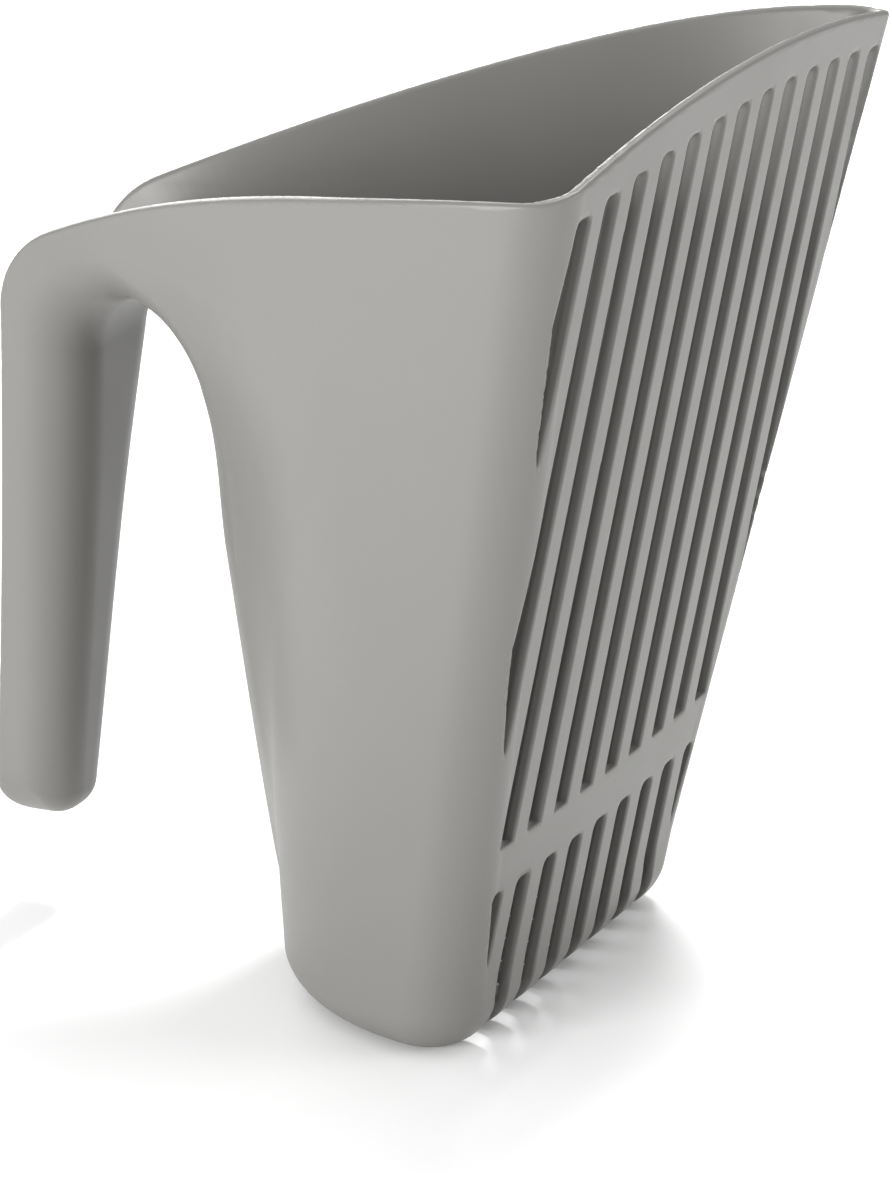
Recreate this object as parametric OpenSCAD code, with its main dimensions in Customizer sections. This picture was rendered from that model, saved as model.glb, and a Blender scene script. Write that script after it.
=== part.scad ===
// Sifting scoop: an open bucket with a flat slotted front and a channel-shaped handle that hangs
// down behind it. The real thing is one moulding; the modules below are its named regions, which
// meet face to face. Front is -Y and the handle is +Y. The shapes are worked out from the centre of
// the round base, then moved so that the origin is under the middle of the whole scoop.

/* [Bucket] */
// Radius of the round wall at floor level, before the floor edge is rounded
base_r = 53.9; // [45:0.1:60]
// Radius of the round wall at rim height
rim_r = 85.8; // [75:0.1:95]
// How far the wall's centre shifts forward from floor to rim
centre_shift = 24.4; // [10:0.1:35]
// Height of the rim at the front corners
rim_h = 178.7; // [150:0.1:200]
// Wall thickness
wall = 2.4; // [1.8:0.1:3]
// Rounding radius between floor and wall
floor_round = 8.5; // [6:0.5:20]
// Rounding radius of the two upright front corners
corner_r = 11.5; // [8:0.5:16]

/* [Front] */
// Distance from the base centre to the front wall at floor level
front_y = 1.5; // [0:0.5:10]
// Forward lean of the front wall in degrees
front_lean = 10.95; // [5:0.05:15]
// How much the lip rises at its middle above the front corners
lip_rise = 8.1; // [0:0.1:12]
// Depth of the solid band between slot tops and lip at the middle
lip_band = 8.1; // [5:0.1:14]

/* [Slots] */
// Number of slots above the cross band
upper_slots = 13; // [9:2:13]
// Number of slots below the cross band
lower_slots = 9; // [5:2:9]
// Spacing of the slots, centre to centre
pitch = 12; // [10:0.1:12.4]
// Width of each slot
slot_w = 6; // [4:0.1:8]
// Height of the cross band's top edge
band_top = 44; // [35:0.5:60]
// Height of the cross band
band_h = 10; // [5:0.5:15]
// How far the lower slots run on under the floor, from the base centre
slot_floor_y = 24; // [16:1:30]

/* [Handle] */
// Outside radius of the bend where the handle turns down
bend_r = 19.8; // [14:0.1:22]
// Radius of the finger arch between handle and bucket
arch_r = 13.6; // [12:0.1:15]
// Distance of the finger arch's centre behind the base centre
arch_y = 80.7; // [80:0.1:83]
// Height of the finger arch's centre
arch_z = 117.9; // [112:0.1:119]
// Height of the handle's lower end above the floor
handle_end = 19.2; // [10:0.1:40]
// Half width of the handle's channel at its lower end
handle_half_w = 11.4; // [9:0.1:14]

/* [Hidden] */

// Tilts of the finger arch's two legs and of the handle's back edge, in degrees from upright
back_tilt = 6.7;
leg_tilt = 5.2;
edge_tilt = 4.6;
// Rounding radii of the handle's lower end, towards the bucket and towards the back
end_round = 5.5;
end_back_round = 6.4;
// Centre of the bend and the angle it sweeps before it meets the rim
bend_y = 90;
bend_z = 127.2;
bend_sweep = 66;
// The rim falls away behind this point by rim_drop * distance ^ rim_power
rim_start = -32;
rim_drop = 0.0085;
rim_power = 1.7;
// Above the floor's edge the front wall bows back by bow * x ^ 2, less and less towards the rim
bow_low = 0.00048;
bow_high = 0.00012;
// The bucket's back below the arch: half width at floor level, and how much that grows per mm up
back_half = 16.6;
back_spread = 0.081;
// The raised lip: half its width, how far back it reaches, and how far its slab runs forward
lip_half = 83.2;
lip_back = -29;
lip_run = 40;
// How much the outer slots' tops fall below the middle ones, reached five slots out
slot_fall = 3.5;
// How far the slots' tools reach in behind the front wall, and forward from the base's centre
tool_depth = 6;
tool_front = 80;
// How far those tools start below the floor
tool_low = 5;
// Heights between which the slots' field widens from its floor width
field_base = 8;
field_low = 12.5;
// Height of the wall before the rim is cut, where the flare's tail ends, and a length past all
top = 200;
tail_end = 135;
far = 260;
// Where the triangles of the loft's two end caps meet
cap_y = 30;
// Steps along the front line, its corner, the round wall and the flare
front_n = 6;
corner_n = 8;
round_n = 12;
tail_n = 10;
plastic = [0.66, 0.655, 0.635];

// Plan of the bucket at height z: round wall, front line and flare into the handle
function wall_r(z) = base_r + (rim_r - base_r) * z / rim_h;
function centre_y(z) = -centre_shift * z / rim_h;
function front_at(z) = -front_y - z * tan(front_lean);
function handle_half(z) = handle_half_w - 0.8 + 0.035 * z + 0.00042 * z * z;
function flare_angle(z) = max(29.5, 29.5 + (140 - z) * 0.32);
function flare_y(z) = min(62 + 0.3 * z, 105.5 + 0.8 * (z - 145));

// Corner centre: the corner arc touches the front line and the round wall from inside
function corner_x(z, inset) =
    let (r = wall_r(z) - inset, c = corner_r - min(inset, corner_r - 2))
    sqrt(pow(r - c, 2) - pow(front_at(z) + inset + c - centre_y(z), 2));
function bow_at(x, xc, z) =
    lookup(z, [[3, 0], [15, bow_low], [rim_h, bow_high]]) * pow(min(x, xc), 2);

function bezier(a, b, c, d, t) =
    pow(1 - t, 3) * a + 3 * pow(1 - t, 2) * t * b + 3 * (1 - t) * t * t * c + pow(t, 3) * d;

// 0 where the flare ends in the bucket's own back, 1 where it runs on into the handle
function flare_share(z) =
    let (t = max(0, min(1, (z - 85) / 46)))
    t * t * (3 - 2 * t);

function half_outline(z, inset, share) =
    let (
        r = wall_r(z) - inset,
        c = corner_r - min(inset, corner_r - 2),
        yc = centre_y(z),
        yf = front_at(z) + inset,
        xc = corner_x(z, inset),
        start = atan2(yf + c - yc, xc),
        flare = flare_angle(z),
        a = [r * cos(flare), yc + r * sin(flare)],
        far_x = share * handle_half(z) + (1 - share) * (back_half + back_spread * z),
        far_y = share * flare_y(z) + (1 - share) * (back_line(z, 0)[0] + 4),
        d = [far_x - inset, max(far_y, a[1] + 8)],
        span = d[1] - a[1],
        b = a + 0.46 * span * [-sin(flare), cos(flare)],
        e = d - [0, 0.33 * span]
    )
    concat(
        [for (i = [0:front_n]) let (x = xc * i / front_n) [x, yf + bow_at(x, xc, z)]],
        [for (i = [1:corner_n]) let (t = i / corner_n, q = -90 + t * (90 + start))
            [xc + c * cos(q), yf + c + c * sin(q) + bow_at(xc, xc, z) * pow(1 - t, 2)]],
        [for (i = [1:round_n]) let (q = start + (flare - start) * i / round_n)
            [r * cos(q), yc + r * sin(q)]],
        [for (i = [1:tail_n]) bezier(a, b, e, d, i / tail_n)],
        [[d[0], tail_end]]
    );

function outline(z, inset, share) =
    let (h = half_outline(z, inset, share), n = len(h))
    concat(h, [for (i = [n - 1:-1:1]) [-h[i][0], h[i][1]]]);

// Rings from the flat floor round its edge and up the wall; thin insets the whole surface
function ring_list(thin) =
    let (r = floor_round - thin)
    concat(
        [for (a = [0:15:75]) [thin + r * (1 - cos(a)), thin + r * (1 - sin(a))]],
        [for (z = [floor_round:(top - floor_round) / 15:top + 0.01]) [z, thin]]
    );

module loft(thin, handle_part) {
    rings = ring_list(thin);
    shapes = [for (k = rings) let (share = handle_part ? 1 : flare_share(k[0]))
        [for (p = outline(k[0], k[1], share)) [p[0], p[1], k[0]]]];
    n = len(shapes[0]);
    m = len(shapes);
    middle = [[0, cap_y, rings[0][0]], [0, cap_y, top]];
    points = concat([for (s = shapes) for (p = s) p], middle);
    floor_cap = [for (i = [0:n - 1]) [i, (i + 1) % n, m * n]];
    top_cap = [for (i = [0:n - 1]) [(m - 1) * n + (i + 1) % n, (m - 1) * n + i, m * n + 1]];
    sides = [for (k = [0:m - 2]) for (i = [0:n - 1])
        let (a = k * n + i, b = k * n + (i + 1) % n)
        each [[a, a + n, b], [b, a + n, b + n]]];
    polyhedron(
        points = points,
        faces = concat(floor_cap, top_cap, sides)
    );
}

// Side view: the finger arch's outline moved by d into the material
function back_line(z, d) = [arch_y - (arch_r + d) - (arch_z - z) * tan(back_tilt), z];
function leg_line(z, d) = [arch_y + (arch_r + d) + (arch_z - z) * tan(leg_tilt), z];
function arch(d) =
    let (r = arch_r + d)
    [for (a = [180:-12:0]) [arch_y + r * cos(a), arch_z + r * sin(a)]];
function edge_line(z) = bend_y + bend_r + (bend_z - z) * tan(edge_tilt);
// Rounded lower end of the handle, moved by d into the material
function end_arc(d) =
    let (r = end_round - d, p = leg_line(handle_end, 0))
    [for (a = [180:15:270]) [p[0] + end_round + r * cos(a), handle_end + end_round + r * sin(a)]];
function back_arc() =
    let (z = handle_end + end_back_round, y = edge_line(z) - end_back_round)
    [for (a = [-90:15:0]) [y + end_back_round * cos(a), z + end_back_round * sin(a)]];
function rim_z(y) = rim_h - rim_drop * pow(max(y - rim_start, 0), rim_power);

module side(points) {
    rotate([90, 0, 90])
        linear_extrude(far, center = true)
            polygon(points);
}

module outer_side() {
    rim = [for (y = [96:-8:rim_start]) [y, rim_z(y)]];
    bend = [for (a = [0:11:bend_sweep]) [bend_y + bend_r * cos(a), bend_z + bend_r * sin(a)]];
    side(concat(
        [[-60, -1], back_line(-1, 0)],
        arch(0),
        end_arc(0),
        back_arc(),
        bend, rim, [[-60, rim_h]]
    ));
}

module inner_side() {
    side(concat(
        [[-60, -1], back_line(-1, wall)],
        arch(wall),
        end_arc(wall),
        [[far, handle_end + wall], [far, far], [-60, far]]
    ));
}

// Front view: the raised lip
module lip_side() {
    side_x = lip_half + 5;
    lip = [for (x = [-side_x:side_x / 11:side_x + 0.01])
        [x, rim_h + lip_rise * (1 - pow(x / lip_half, 2))]];
    translate([0, lip_back, 0])
        rotate([90, 0, 0])
            linear_extrude(lip_run)
                polygon(concat([[side_x, rim_h / 2], [-side_x, rim_h / 2]], lip));
}

module shell(handle_part) {
    difference() {
        intersection() {
            loft(0, handle_part);
            union() {
                outer_side();
                lip_side();
            }
        }
        intersection() {
            loft(wall, handle_part);
            inner_side();
        }
    }
}

// Slots
function slot_x(i, count) = (i - (count - 1) / 2) * pitch;
function slot_top(x) = rim_h + lip_rise - lip_band - slot_fall * pow(x / (5 * pitch), 2);
function field_margin(z) = min(5, 1 + max(0, z - 20) / 15);
lower_limit = corner_x(field_low, 0) - 4;
origin_y = (edge_line(handle_end) + front_at(rim_h + lip_rise)) / 2;

module front_field() {
    levels = [for (z = [field_low:11:190]) [corner_x(z, 0) + field_margin(z), z]];
    right = concat([[lower_limit, -tool_low], [lower_limit, field_base]], levels);
    n = len(right);
    rotate([90, 0, 0])
        linear_extrude(far, center = true)
            polygon(concat(right, [for (i = [n - 1:-1:0]) [-right[i][0], right[i][1]]]));
}

// A slab that leans with the front wall and is deep enough to hold it
module front_slab() {
    depth = wall + tool_depth;
    side([
        [-tool_front, -tool_low],
        [front_at(-tool_low) + depth, -tool_low],
        [front_at(top) + depth, top],
        [-tool_front, top]
    ]);
}

module upper_cut(i) {
    x = slot_x(i, upper_slots);
    translate([x - slot_w / 2, -tool_front, band_top])
        cube([slot_w, tool_front + 10, slot_top(x) - band_top]);
}

module lower_cut(i) {
    x = slot_x(i, lower_slots);
    translate([x - slot_w / 2, -tool_front, -tool_low])
        cube([slot_w, tool_front + slot_floor_y, band_top - band_h + tool_low]);
}

module slots() {
    intersection() {
        front_field();
        union() {
            intersection() {
                front_slab();
                for (i = [0:upper_slots - 1]) upper_cut(i);
            }
            for (i = [0:lower_slots - 1]) lower_cut(i);
        }
    }
}

// Blocks that hold the bars between the slots, and the band between the two rows
module upper_blocks() {
    intersection() {
        front_field();
        front_slab();
        for (i = [0:upper_slots - 2]) {
            a = slot_x(i, upper_slots);
            h = min(slot_top(a), slot_top(a + pitch));
            translate([a + slot_w / 2, -tool_front, band_top])
                cube([pitch - slot_w, tool_front + 10, h - band_top]);
        }
    }
}

module lower_blocks() {
    intersection() {
        front_field();
        for (i = [0:lower_slots - 2]) {
            a = slot_x(i, lower_slots);
            translate([a + slot_w / 2, -tool_front, -tool_low])
                cube([pitch - slot_w, tool_front + slot_floor_y, band_top - band_h + tool_low]);
        }
    }
}

module band_block() {
    half = slot_x(lower_slots - 1, lower_slots) + slot_w / 2;
    intersection() {
        front_slab();
        translate([-half, -tool_front, band_top - band_h])
            cube([2 * half, tool_front + 10, band_h]);
    }
}

// Moves a region from the base's centre to the scoop's own origin
module placed() {
    translate([0, -origin_y, 0])
        children();
}

module behind_arch() {
    translate([-far / 2, arch_y, -5])
        cube([far, far, far]);
}

module bowl() {
    color(plastic) placed()
        difference() {
            shell(false);
            slots();
            upper_blocks();
            lower_blocks();
            band_block();
            behind_arch();
        }
}

module handle() {
    color(plastic) placed()
        intersection() {
            shell(true);
            behind_arch();
        }
}

module cross_band() {
    color(plastic) placed()
        intersection() {
            shell(false);
            band_block();
        }
}

module upper_bars() {
    color(plastic) placed()
        intersection() {
            shell(false);
            upper_blocks();
        }
}

module lower_bars() {
    color(plastic) placed()
        intersection() {
            shell(false);
            lower_blocks();
        }
}

bowl();
handle();
cross_band();
upper_bars();
lower_bars();
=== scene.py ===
import math

import bpy
import numpy as np
from mathutils import Matrix, Vector


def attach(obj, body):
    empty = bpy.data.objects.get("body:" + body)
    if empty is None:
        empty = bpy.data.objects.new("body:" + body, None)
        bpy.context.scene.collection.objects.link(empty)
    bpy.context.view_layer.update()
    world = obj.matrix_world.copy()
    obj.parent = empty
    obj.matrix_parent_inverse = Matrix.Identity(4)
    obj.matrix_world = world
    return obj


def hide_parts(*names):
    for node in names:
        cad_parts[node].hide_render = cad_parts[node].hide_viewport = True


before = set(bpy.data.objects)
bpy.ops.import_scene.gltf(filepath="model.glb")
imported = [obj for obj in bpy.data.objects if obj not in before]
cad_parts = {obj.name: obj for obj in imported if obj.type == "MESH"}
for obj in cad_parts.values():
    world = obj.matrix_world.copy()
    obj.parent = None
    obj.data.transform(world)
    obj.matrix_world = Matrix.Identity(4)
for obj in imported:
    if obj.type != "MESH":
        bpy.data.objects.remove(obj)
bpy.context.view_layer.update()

MM = 0.001

# ---------------------------------------------------------------- the moulding's sizes, in mm
# Heights are from the floor. Places are from the round wall's centre at the floor, y to the back.
# The round wall: its radius at the floor and at the rim's height, and how far its centre moves
BASE_R = 53.9
RIM_R = 85.8
CENTRE_SHIFT = 24.4
RIM_H = 178.7
WALL = 2.4
FLOOR_ROUND = 8.5

# The front wall: its corners' radius, its place at the floor, its lean and its bow, low and high
CORNER_R = 11.5
FRONT_Y = 1.5
FRONT_LEAN = math.radians(10.95)
LEAN = math.tan(FRONT_LEAN)
BOW_LOW = 0.00048
BOW_HIGH = 0.00012
BOW_START_Z = 3.0
BOW_FULL_Z = 15.0

# The raised lip in front, and the slots and the band below it
LIP_RISE = 8.1
LIP_BAND = 8.1
LIP_HALF = 83.2
LIP_BACK_Y = -29.0
SLOT_FALL = 3.5
PITCH = 12.0
SLOT_W = 6.0
UPPER_SLOTS = 13
LOWER_SLOTS = 9
BAND_TOP = 44.0
BAND_H = 10.0
SLOT_FLOOR_Y = 24.0
FIELD_LOW = 12.5
FRONT_SLAB = 8.4

# Side view: the bend of the handle's back, the arch over the fingers and the handle's lower end
BEND_R = 19.8
BEND_Y = 90.0
BEND_Z = 127.2
BEND_SWEEP = 66.0
ARCH_R = 13.6
ARCH_Y = 80.7
ARCH_Z = 117.9
HANDLE_END = 19.2
BACK_TILT = math.radians(6.7)
LEG_TILT = math.radians(5.2)
EDGE_TILT = math.radians(4.6)
END_ROUND = 5.5
END_BACK_ROUND = 7.5
END_BACK_DROP = 0.5

# Half widths of the handle and of the bucket's back, how they grow with height, and how far the
# flare runs past the back's line before it is cut there
HANDLE_HALF_W = 10.6
HANDLE_SPREAD = 0.035
HANDLE_CURVE = 0.00042
BACK_HALF = 16.6
BACK_SPREAD = 0.081
BACK_RUN = 4.0

# The rim falls from its start towards the handle
RIM_START = -32.0
RIM_END = 97.0
RIM_DROP = 0.0085
RIM_POWER = 1.7

# The flare from the round wall to the handle: where it leaves the wall (in degrees), where it
# ends, between which heights it goes over to the handle, and how strongly each end pulls on it
FLARE_ANGLE = 29.5
FLARE_ANGLE_Z = 140.0
FLARE_ANGLE_RATE = 0.32
FLARE_END_LOW = (62.0, 0.3)
FLARE_END_HIGH = (105.5, 0.8)
FLARE_END_Z = 145.0
FLARE_FROM_Z = 85.0
FLARE_OVER = 46.0
FLARE_LEAST = 8.0
FLARE_PULL = 0.46
HANDLE_PULL = 0.33
TAIL_END = 135.0

# Side margin of the slots' field past the front corners, which grows from low to high, and how far
# inside them the field of the lower slots ends on the floor
MARGIN_LOW = 1.0
MARGIN_HIGH = 5.0
MARGIN_Z = 20.0
MARGIN_RUN = 15.0
FIELD_INSET = 4.0
FIELD_TURN_Z = 8.0
FIELD_TURN_RATE = 0.4

# Places past everything in the model: behind, below and in front of it
FAR = 260.0
BELOW = -60.0
AHEAD = -120.0

# Roundings of the real edges, in mm. The arch's grows from the bucket to the handle's top
BODY_FILLET = 8.0
HANDLE_FILLET = 13.0
HANDLE_FILLET_LOW = 10.4
FILLET_LOW_Z = 28.0
FILLET_RISE = 70.0
FILLET_AHEAD = 6.0
FILLET_RUN = 16.0
RIM_ROUND = 0.9
SLOT_EDGE = 0.45
SLOT_CORNER = 1.6
SLOT_FOOT = 0.3
SLOT_TIP = 1.2
SLOT_TIP_PULL = 0.8

# Scales that bring the field of a sloping edge back to a distance, and the most lean allowed for
LIP_SLOPE = 0.98
EDGE_SLOPE = 0.97
STEEPEST = 0.4

# Spacing of the grid that the surface is found on, the room left round the model and the
# distance from the walls within which the surface is looked for, in mm
STEP = np.array([0.75, 0.8, 0.9])
PAD = 2.0
HALF_SPAN = 90
NEAR = 4.0

# Half lengths over which the field's slope is taken: at crossings, at vertices, for the shading
CROSSING_STEP = 0.05
SETTLE_STEP = 0.1
NORMAL_STEP = 0.2

# A vertex is held to the mean of its cell's crossings by this share, and stays within this many
# cells of it. Settling then moves it by up to this many mm at a time
HOLD = 0.05
CELL_REACH = 0.8
SETTLE_REACH = 0.5
FLATTEST = 0.05
TINY = 1e-9

# Points along the outlines' curves
FRONT_POINTS = 13
CORNER_POINTS = 25
WALL_POINTS = 37
CURVE_POINTS = 33
ARCH_POINTS = 49
END_POINTS = 17
RIM_SPACING = 2.0
LIMIT_SPACING = 5.0

# ---------------------------------------------------------------- looks, light and camera
# The colours are linear. The lights and the camera are in metres, degrees and watts
PLASTIC_DARK = (0.141, 0.138, 0.130, 1.0)
PLASTIC_LIGHT = (0.149, 0.146, 0.137, 1.0)
PLASTIC_IOR = 1.49
FLOW_SCALE = 9.0
FLOW_FROM = 0.3
FLOW_TO = 0.7
GLOSS_SCALE = 60.0
ROUGH_LEAST = 0.40
ROUGH_MOST = 0.50
GRAIN_SCALE = 1400.0
GRAIN_STRENGTH = 0.06
GRAIN_DEPTH = 0.0002
FLOOR_DARK = (0.93, 0.93, 0.93, 1.0)
FLOOR_LIGHT = (0.95, 0.95, 0.95, 1.0)
FLOOR_SCALE = 3.0
FLOOR_ROUGH = 0.9
FLOOR_SHINE = 0.1
FLOOR_HALF = 12.0
SKY_COLOUR = (1.0, 1.0, 1.0, 1.0)
SKY_LEVEL = 0.15
SKY_OVERHEAD = 1.02
CAMERA_AZIMUTH = math.radians(-65.892)
CAMERA_ELEVATION = math.radians(17.8)
CAMERA_PLACE = (-1.18904, -0.50718, 0.49208)
CAMERA_LENS = 212.006
CAMERA_SENSOR = 36.0


def smooth(t):
    t = np.clip(t, 0.0, 1.0)
    return t * t * (3.0 - 2.0 * t)


def wall_r(z):
    return BASE_R + (RIM_R - BASE_R) * z / RIM_H


def centre_y(z):
    return -CENTRE_SHIFT * z / RIM_H


def front_at(z):
    return -FRONT_Y - z * LEAN


def handle_half(z):
    return HANDLE_HALF_W + HANDLE_SPREAD * z + HANDLE_CURVE * z * z


def flare_angle(z):
    return math.radians(FLARE_ANGLE + max(0.0, FLARE_ANGLE_Z - z) * FLARE_ANGLE_RATE)


def flare_y(z):
    low = FLARE_END_LOW[0] + FLARE_END_LOW[1] * z
    high = FLARE_END_HIGH[0] + FLARE_END_HIGH[1] * (z - FLARE_END_Z)
    return min(low, high)


def flare_share(z):
    """0 where the flare ends in the bucket's own back, 1 where it runs on into the handle."""
    return float(smooth((z - FLARE_FROM_Z) / FLARE_OVER))


def corner_x(z):
    reach = wall_r(z) - CORNER_R
    return math.sqrt(reach ** 2 - (front_at(z) + CORNER_R - centre_y(z)) ** 2)


def rim_z(y):
    return RIM_H - RIM_DROP * np.maximum(y - RIM_START, 0.0) ** RIM_POWER


def back_line(z):
    return ARCH_Y - ARCH_R - (ARCH_Z - z) * math.tan(BACK_TILT)


def leg_line(z):
    return ARCH_Y + ARCH_R + (ARCH_Z - z) * math.tan(LEG_TILT)


def edge_line(z):
    return BEND_Y + BEND_R + (BEND_Z - z) * math.tan(EDGE_TILT)


ORIGIN_Y = (edge_line(HANDLE_END) + front_at(RIM_H + LIP_RISE)) / 2


def half_outline(z, share):
    """Right half of the plan outline at height z, from the front's middle to the tail's end."""
    r = wall_r(z)
    yc = centre_y(z)
    yf = front_at(z)
    xc = corner_x(z)
    start = math.atan2(yf + CORNER_R - yc, xc)
    flare = flare_angle(z)
    bow = np.interp(z, [BOW_START_Z, BOW_FULL_Z, RIM_H], [0.0, BOW_LOW, BOW_HIGH])
    x = np.linspace(0.0, xc, FRONT_POINTS)
    front = np.stack([x, yf + bow * x * x], 1)
    t = np.linspace(0.0, 1.0, CORNER_POINTS)[1:]
    q = -math.pi / 2 + t * (math.pi / 2 + start)
    corner = np.stack([xc + CORNER_R * np.cos(q),
                       yf + CORNER_R + CORNER_R * np.sin(q) + bow * xc * xc * (1.0 - t) ** 2], 1)
    q = start + (flare - start) * np.linspace(0.0, 1.0, WALL_POINTS)[1:]
    side = np.stack([r * np.cos(q), yc + r * np.sin(q)], 1)
    a = side[-1]
    d = share * np.array([handle_half(z), flare_y(z)])
    d += (1.0 - share) * np.array([BACK_HALF + BACK_SPREAD * z, back_line(z) + BACK_RUN])
    d[1] = max(d[1], a[1] + FLARE_LEAST)
    span = d[1] - a[1]
    b = a + FLARE_PULL * span * np.array([-math.sin(flare), math.cos(flare)])
    e = d - np.array([0.0, HANDLE_PULL * span])
    t = np.linspace(0.0, 1.0, CURVE_POINTS)[1:, None]
    curve = (1 - t) ** 3 * a + 3 * (1 - t) ** 2 * t * b + 3 * (1 - t) * t * t * e + t ** 3 * d
    return np.concatenate([front, corner, side, curve, [[d[0], TAIL_END]]])


def polyline_distance(px, py, line, closed_by):
    """Signed distance from points to a line of points; closed_by only helps to tell inside."""
    best = np.full(px.shape, 1e9, dtype=np.float32)
    inside = np.zeros(px.shape, dtype=bool)
    ring = np.concatenate([line, closed_by, line[:1]])
    for k in range(len(ring) - 1):
        ax, ay = ring[k]
        bx, by = ring[k + 1]
        if k < len(line) - 1:
            ex = bx - ax
            ey = by - ay
            length = ex * ex + ey * ey + 1e-12
            wx = px - ax
            wy = py - ay
            t = np.clip((wx * ex + wy * ey) / length, 0.0, 1.0)
            np.minimum(best, (wx - t * ex) ** 2 + (wy - t * ey) ** 2, out=best)
        if ay != by:
            crosses = (py >= min(ay, by)) & (py < max(ay, by))
            inside ^= crosses & (px < ax + (py - ay) * (bx - ax) / (by - ay))
    return np.where(inside, -np.sqrt(best), np.sqrt(best))


def round_and(a, b, r):
    """What is inside both fields, with the edge between them rounded to radius r."""
    return np.minimum(np.maximum(a, b), -r) + np.hypot(np.maximum(a + r, 0), np.maximum(b + r, 0))


# ---------------------------------------------------------------- fields
# The grid leans with the front wall, so that the wall and its slots keep their place in its cells
X_AXIS = (np.arange(-1, int(HALF_SPAN / STEP[0]) + 1) + 0.5) * STEP[0]
Y_AXIS = np.arange(-FRONT_Y - PAD, BEND_Y + BEND_R + BEND_Z * LEAN + 2 * PAD, STEP[1])
Z_AXIS = np.arange(-PAD, RIM_H + LIP_RISE + PAD, STEP[2])


def plan_grid():
    """Distance to the plan outline at every height, shortened where the walls lean."""
    gx, gy = np.meshgrid(X_AXIS, Y_AXIS, indexing="ij")
    gx = np.abs(gx).astype(np.float32)
    gy = gy.astype(np.float32)
    field = np.zeros((len(X_AXIS), len(Y_AXIS), len(Z_AXIS)), dtype=np.float32)
    for k, z in enumerate(Z_AXIS):
        y = gy - z * LEAN
        behind = y > ARCH_Y
        height = max(z, 0.0)
        share = flare_share(height)
        line = half_outline(height, share)
        centre = np.array([[0.0, TAIL_END]])
        d = polyline_distance(gx, y, line, centre)
        if share < 1.0:
            handle = half_outline(height, 1.0)
            d[behind] = polyline_distance(gx[behind], y[behind], handle, centre)
        field[:, :, k] = d
    slope = np.gradient(field, STEP[2], axis=2) + LEAN * np.gradient(field, STEP[1], axis=1)
    return field / np.sqrt(1.0 + np.clip(slope, -STEEPEST, STEEPEST) ** 2)


PLAN = plan_grid()


def plan_at(p):
    """PLAN at any points, read between the grid's own."""
    counts = np.array(PLAN.shape)
    start = np.array([X_AXIS[0], Y_AXIS[0], Z_AXIS[0]])
    g = (np.stack([np.abs(p[:, 0]), p[:, 1] + p[:, 2] * LEAN, p[:, 2]], 1) - start) / STEP
    g = np.clip(g, 0, counts - 1.001)
    i = g.astype(int)
    f = g - i
    total = np.zeros(len(p))
    for a in (0, 1):
        for b in (0, 1):
            for c in (0, 1):
                w = np.abs(1 - a - f[:, 0]) * np.abs(1 - b - f[:, 1]) * np.abs(1 - c - f[:, 2])
                total += w * PLAN[i[:, 0] + a, i[:, 1] + b, i[:, 2] + c]
    return total


def arc(cy, cz, r, first, last, count):
    q = np.radians(np.linspace(first, last, count))
    return np.stack([cy + r * np.cos(q), cz + r * np.sin(q)], 1)


def under_line():
    """Side view of the gap under the arch, and the handle's lower end."""
    foot = leg_line(HANDLE_END)
    back = [[back_line(BELOW), BELOW]]
    arch = arc(ARCH_Y, ARCH_Z, ARCH_R, 180.0, 0.0, ARCH_POINTS)
    low = HANDLE_END + END_ROUND
    end = arc(foot + END_ROUND, low, END_ROUND, 180.0, 270.0, END_POINTS)
    return np.concatenate([back, arch, end, [[FAR, HANDLE_END]]])


def rim_line():
    """Side view of the rim, the handle's bend and its back edge."""
    bend = arc(BEND_Y, BEND_Z, BEND_R, 0.0, BEND_SWEEP, CURVE_POINTS)
    y = np.arange(RIM_END, RIM_START - 1.0, -RIM_SPACING)
    rim = np.stack([y, rim_z(y)], 1)
    high = HANDLE_END - END_BACK_DROP + END_BACK_ROUND
    low = arc(edge_line(high) - END_BACK_ROUND, high, END_BACK_ROUND, -90.0, 0.0, END_POINTS)
    return np.concatenate([[[low[0][0], BELOW]], low, bend, rim, [[AHEAD, RIM_H]]])


UNDER = under_line()
RIM = rim_line()


def shape(p, plan):
    """The whole moulding's field at points p in mm, in the sizes' frame. Negative is plastic."""
    x = np.abs(p[:, 0])
    y = p[:, 1]
    z = p[:, 2]
    gap = polyline_distance(y, z, UNDER, np.array([[FAR, BELOW]]))
    rise = smooth((z - FILLET_LOW_Z) / FILLET_RISE)
    on_handle = HANDLE_FILLET_LOW + (HANDLE_FILLET - HANDLE_FILLET_LOW) * rise
    run = smooth((y - ARCH_Y + FILLET_AHEAD) / FILLET_RUN)
    fillet = BODY_FILLET + (on_handle - BODY_FILLET) * run
    body = round_and(plan, -z, FLOOR_ROUND)
    body = round_and(body, -gap, fillet)
    shell = np.abs(body + WALL / 2) - WALL / 2
    rim = polyline_distance(y, z, RIM, np.array([[AHEAD, BELOW]]))
    lip = (z - RIM_H - LIP_RISE * (1.0 - (x / LIP_HALF) ** 2)) * LIP_SLOPE
    rim = np.minimum(rim, np.maximum(lip, y - LIP_BACK_Y))
    shell = round_and(shell, rim, RIM_ROUND)
    return round_and(shell, -slot_field(x, y, z), SLOT_EDGE)


def margin(z):
    return np.minimum(MARGIN_HIGH, MARGIN_LOW + np.maximum(z - MARGIN_Z, 0.0) / MARGIN_RUN)


# How far to the side the slots may reach, by height
LIMIT_Z = np.arange(FIELD_LOW, RIM_H + LIP_RISE, LIMIT_SPACING)
LIMIT_X = np.array([corner_x(z) + margin(z) for z in LIMIT_Z])
LOWER_LIMIT = corner_x(FIELD_LOW) - FIELD_INSET


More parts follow.
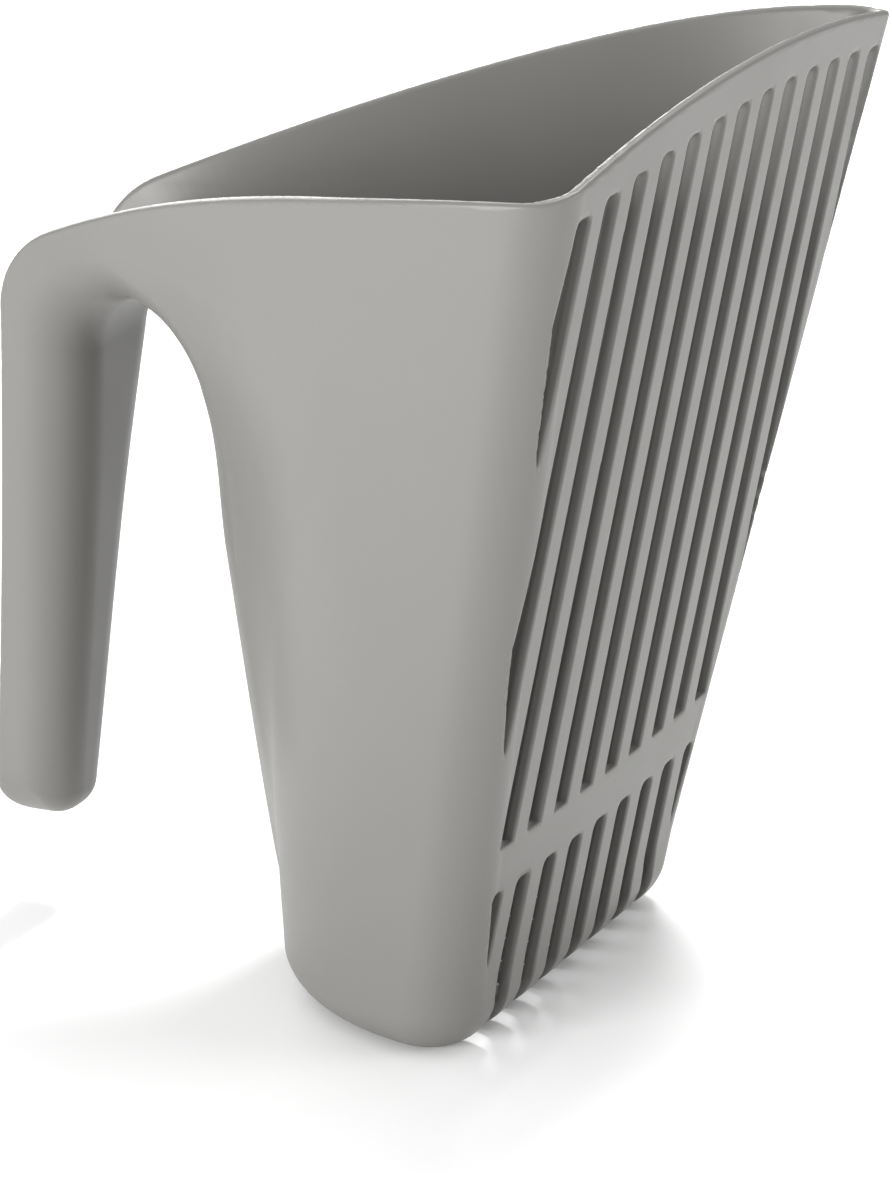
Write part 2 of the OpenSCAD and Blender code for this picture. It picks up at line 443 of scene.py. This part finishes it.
def one_slot(x, z, middle, edge, low, high):
    """Front view of a slot between two heights; it ends at the field's edge, and not in a point."""
    side = np.maximum(np.abs(x - middle) - SLOT_W / 2, (x - edge) * EDGE_SLOPE)
    side = side + SLOT_TIP_PULL * np.maximum(SLOT_TIP - (edge - middle + SLOT_W / 2), 0.0)
    return round_and(round_and(side, z - high, SLOT_CORNER), low - z, SLOT_FOOT)


def slot_field(x, y, z):
    """Distance to the nearest slot; negative inside it."""
    above = np.interp(z, LIMIT_Z, LIMIT_X)
    below = LOWER_LIMIT + (z - FIELD_TURN_Z) * FIELD_TURN_RATE
    edge = np.where(z < FIELD_LOW, below, above)
    edge = np.minimum(np.maximum(edge, LOWER_LIMIT), above)
    column = np.round(x / PITCH)
    upper_x = np.minimum(column, (UPPER_SLOTS - 1) // 2) * PITCH
    lower_x = np.minimum(column, (LOWER_SLOTS - 1) // 2) * PITCH
    top = RIM_H + LIP_RISE - LIP_BAND - SLOT_FALL * (upper_x / (5 * PITCH)) ** 2
    upper = one_slot(x, z, upper_x, edge, BAND_TOP, top)
    upper = np.maximum(upper, y - front_at(z) - FRONT_SLAB)
    lower = one_slot(x, z, lower_x, edge, BELOW, BAND_TOP - BAND_H)
    lower = np.maximum(lower, y - SLOT_FLOOR_Y)
    return np.minimum(upper, lower)


# ---------------------------------------------------------------- the surface
def upright(p):
    """Grid places as real ones."""
    return np.stack([p[:, 0], p[:, 1] - p[:, 2] * LEAN, p[:, 2]], 1)


def half_grid_field():
    """The field at the grid's places on one side of the middle; far from the walls it is flat."""
    gx, gy, gz = np.meshgrid(X_AXIS, Y_AXIS, Z_AXIS, indexing="ij")
    flat_plan = PLAN.ravel()
    near = flat_plan < NEAR
    p = upright(np.stack([gx.ravel()[near], gy.ravel()[near], gz.ravel()[near]], 1))
    values = np.full(flat_plan.shape, NEAR, dtype=np.float32)
    values[near] = shape(p, flat_plan[near])
    return values.reshape(PLAN.shape)


def surface_net(field, start):
    """A vertex in every cell that the surface crosses, placed where its planes there meet."""
    inside = field < 0
    cells = np.array(field.shape) - 1
    faces = []
    sums = []
    for axis in range(3):
        u = (axis + 1) % 3
        v = (axis + 2) % 3
        lo = [slice(None)] * 3
        hi = [slice(None)] * 3
        lo[axis] = slice(0, -1)
        hi[axis] = slice(1, None)
        change = inside[tuple(lo)] != inside[tuple(hi)]
        at = np.argwhere(change)
        keep = (at[:, u] > 0) & (at[:, v] > 0) & (at[:, u] < cells[u]) & (at[:, v] < cells[v])
        at = at[keep]
        end = at.copy()
        end[:, axis] += 1
        f0 = field[at[:, 0], at[:, 1], at[:, 2]]
        f1 = field[end[:, 0], end[:, 1], end[:, 2]]
        cross = at.astype(float)
        cross[:, axis] += f0 / (f0 - f1)
        cross = upright(cross * STEP + start)
        n = gradient(cross, CROSSING_STEP)
        n /= np.linalg.norm(n, axis=1)[:, None] + TINY
        push = (n * cross).sum(1)
        terms = [n[:, 0] ** 2, n[:, 1] ** 2, n[:, 2] ** 2, n[:, 0] * n[:, 1], n[:, 0] * n[:, 2],
                 n[:, 1] * n[:, 2], n[:, 0] * push, n[:, 1] * push, n[:, 2] * push]
        sums.append(np.stack(terms + [cross[:, 0], cross[:, 1], cross[:, 2]], 1))
        ring = []
        for du, dv in ((-1, -1), (0, -1), (0, 0), (-1, 0)):
            c = at.copy()
            c[:, u] += du
            c[:, v] += dv
            ring.append(np.ravel_multi_index(c.T, cells))
        quad = np.stack(ring, 1)
        flip = f0 >= 0
        quad[flip] = quad[flip][:, ::-1]
        faces.append(quad)
    quads = np.concatenate(faces)
    used, where = np.unique(quads, return_inverse=True)
    quads = where.reshape(quads.shape)
    sums = np.concatenate(sums)
    total = np.zeros((len(used), sums.shape[1]))
    for k in range(sums.shape[1]):
        total[:, k] = np.bincount(quads.ravel(), np.repeat(sums[:, k], 4), len(used))
    return place_vertices(total), quads


def place_vertices(total):
    """Least squares over each cell's crossings, held towards their mean."""
    hits = total[:, 0] + total[:, 1] + total[:, 2]
    mean = total[:, 9:12] / hits[:, None]
    hold = HOLD * hits
    a = np.zeros((len(total), 3, 3))
    for k, (i, j) in enumerate(((0, 0), (1, 1), (2, 2), (0, 1), (0, 2), (1, 2))):
        a[:, i, j] = total[:, k]
        a[:, j, i] = total[:, k]
    a += hold[:, None, None] * np.eye(3)
    b = total[:, 6:9] + hold[:, None] * mean
    found = np.linalg.solve(a, b[:, :, None])[:, :, 0]
    return mean + np.clip(found - mean, -CELL_REACH * STEP, CELL_REACH * STEP)


def value(p):
    """The field at any points, in mm."""
    return shape(p, plan_at(p))


def gradient(p, h):
    """The field's slope at any points, taken over h mm to either side."""
    parts = []
    for axis in range(3):
        step = np.zeros(3)
        step[axis] = h
        parts.append(value(p + step) - value(p - step))
    return np.stack(parts, 1) / (2 * h)


def settle(verts):
    """Moves every vertex on to the surface itself."""
    for _ in range(2):
        g = gradient(verts, SETTLE_STEP)
        size = np.maximum((g * g).sum(1), FLATTEST)
        move = np.clip(value(verts) / size, -SETTLE_REACH, SETTLE_REACH)
        verts = verts - g * move[:, None]
    return verts


def build_scoop():
    """One mesh for the whole moulding, moved so that the part's middle is at y = 0."""
    half = half_grid_field()
    field = np.concatenate([half[:0:-1], half[1:]], 0)
    start = np.array([-X_AXIS[-1], Y_AXIS[0], Z_AXIS[0]])
    verts, quads = surface_net(field, start)
    verts = settle(verts)
    normals = gradient(verts, NORMAL_STEP)
    normals /= np.linalg.norm(normals, axis=1)[:, None] + TINY
    verts[:, 1] -= ORIGIN_Y
    mesh = bpy.data.meshes.new("scoop")
    mesh.from_pydata((verts * MM).tolist(), [], quads.tolist())
    mesh.polygons.foreach_set("use_smooth", np.ones(len(mesh.polygons), dtype=bool))
    mesh.normals_split_custom_set_from_vertices(normals.tolist())
    mesh.update()
    piece = bpy.data.objects.new("scoop", mesh)
    bpy.context.collection.objects.link(piece)
    return piece


# ---------------------------------------------------------------- material
def link(tree, a, out, b, into):
    tree.links.new(a.outputs[out], b.inputs[into])


def noise(tree, coords, scale, detail):
    node = tree.nodes.new("ShaderNodeTexNoise")
    node.inputs["Scale"].default_value = scale
    node.inputs["Detail"].default_value = detail
    link(tree, coords, "Object", node, "Vector")
    return node


def plastic():
    """Satin polypropylene as it leaves a mould: faint flow in its colour, fine grain in its gloss."""
    material = bpy.data.materials.new("scoop_plastic")
    material.use_nodes = True
    tree = material.node_tree
    shader = tree.nodes["Principled BSDF"]
    coords = tree.nodes.new("ShaderNodeTexCoord")

    flow = noise(tree, coords, FLOW_SCALE, 3.0)
    ramp = tree.nodes.new("ShaderNodeValToRGB")
    ramp.color_ramp.elements[0].position = FLOW_FROM
    ramp.color_ramp.elements[1].position = FLOW_TO
    ramp.color_ramp.elements[0].color = PLASTIC_DARK
    ramp.color_ramp.elements[1].color = PLASTIC_LIGHT
    link(tree, flow, "Fac", ramp, "Fac")
    link(tree, ramp, "Color", shader, "Base Color")

    gloss = noise(tree, coords, GLOSS_SCALE, 4.0)
    rough = tree.nodes.new("ShaderNodeMapRange")
    rough.inputs["To Min"].default_value = ROUGH_LEAST
    rough.inputs["To Max"].default_value = ROUGH_MOST
    link(tree, gloss, "Fac", rough, "Value")
    link(tree, rough, "Result", shader, "Roughness")

    grain = noise(tree, coords, GRAIN_SCALE, 2.0)
    bump = tree.nodes.new("ShaderNodeBump")
    bump.inputs["Strength"].default_value = GRAIN_STRENGTH
    bump.inputs["Distance"].default_value = GRAIN_DEPTH
    link(tree, grain, "Fac", bump, "Height")
    link(tree, bump, "Normal", shader, "Normal")
    shader.inputs["IOR"].default_value = PLASTIC_IOR
    return material


def floor_material():
    """Plain pale paint that fades into the white sky."""
    material = bpy.data.materials.new("floor_paint")
    material.use_nodes = True
    tree = material.node_tree
    shader = tree.nodes["Principled BSDF"]
    coords = tree.nodes.new("ShaderNodeTexCoord")
    patches = noise(tree, coords, FLOOR_SCALE, 2.0)
    ramp = tree.nodes.new("ShaderNodeValToRGB")
    ramp.color_ramp.elements[0].color = FLOOR_DARK
    ramp.color_ramp.elements[1].color = FLOOR_LIGHT
    link(tree, patches, "Fac", ramp, "Fac")
    link(tree, ramp, "Color", shader, "Base Color")
    shader.inputs["Roughness"].default_value = FLOOR_ROUGH
    shader.inputs["Specular IOR Level"].default_value = FLOOR_SHINE
    return material


# ---------------------------------------------------------------- the studio
def studio():
    """The floor, and a sky that is brighter overhead."""
    mesh = bpy.data.meshes.new("floor")
    h = FLOOR_HALF
    corners = [(-h, -h, 0), (h, -h, 0), (h, h, 0), (-h, h, 0)]
    mesh.from_pydata(corners, [], [(0, 1, 2, 3)])
    floor = bpy.data.objects.new("floor", mesh)
    bpy.context.collection.objects.link(floor)
    mesh.materials.append(floor_material())
    world = bpy.data.worlds.new("studio")
    bpy.context.scene.world = world
    world.use_nodes = True
    tree = world.node_tree
    background = tree.nodes["Background"]
    background.inputs["Color"].default_value = SKY_COLOUR
    coords = tree.nodes.new("ShaderNodeTexCoord")
    split = tree.nodes.new("ShaderNodeSeparateXYZ")
    level = tree.nodes.new("ShaderNodeMapRange")
    level.inputs["To Min"].default_value = SKY_LEVEL
    level.inputs["To Max"].default_value = SKY_OVERHEAD
    link(tree, coords, "Generated", split, "Vector")
    link(tree, split, "Z", level, "Value")
    link(tree, level, "Result", background, "Strength")
    bpy.context.scene.view_settings.view_transform = "Standard"


def aim(obj, target):
    direction = Vector(target) - obj.location
    obj.rotation_euler = direction.to_track_quat("-Z", "Y").to_euler()


def softbox(name, place, target, width, height, power):
    light = bpy.data.lights.new(name, "AREA")
    light.shape = "RECTANGLE"
    light.size = width
    light.size_y = height
    light.energy = power
    obj = bpy.data.objects.new(name, light)
    bpy.context.collection.objects.link(obj)
    obj.location = place
    aim(obj, target)


def camera():
    """The view fitted to the slots, the rim and the base. Its place is in the sizes' frame."""
    x, y, z = CAMERA_PLACE
    place = Vector((x, y - ORIGIN_Y * MM, z))
    ahead = Vector((-math.sin(CAMERA_AZIMUTH) * math.cos(CAMERA_ELEVATION),
                    math.cos(CAMERA_AZIMUTH) * math.cos(CAMERA_ELEVATION),
                    -math.sin(CAMERA_ELEVATION)))
    right = Vector((math.cos(CAMERA_AZIMUTH), math.sin(CAMERA_AZIMUTH), 0.0))
    up = right.cross(ahead)
    data = bpy.data.cameras.new("camera")
    data.sensor_width = CAMERA_SENSOR
    data.lens = CAMERA_LENS
    obj = bpy.data.objects.new("camera", data)
    bpy.context.collection.objects.link(obj)
    turn = Matrix((right, up, -ahead)).transposed().to_4x4()
    obj.matrix_world = Matrix.Translation(place) @ turn
    bpy.context.scene.camera = obj


studio()
# The key stands high on the far side and makes the streaks at the base; the others are low and soft
middle = (0.0, 0.0, 0.1)
softbox("key", (0.82, 0.0, 1.5), target=(0.0, 0.0, 0.08), width=0.3, height=0.3, power=16.5)
softbox("left", (-1.45, 0.38, 0.3), target=middle, width=0.9, height=0.45, power=30.0)
softbox("front", (0.5, -1.5, 0.4), target=middle, width=1.0, height=0.5, power=11.0)
softbox("back", (1.2, 1.1, 0.5), target=middle, width=1.0, height=0.6, power=15.0)
camera()

scoop = build_scoop()
scoop.data.materials.append(plastic())
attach(scoop, "root")
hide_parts("bowl", "handle", "cross_band", "upper_bars", "lower_bars")
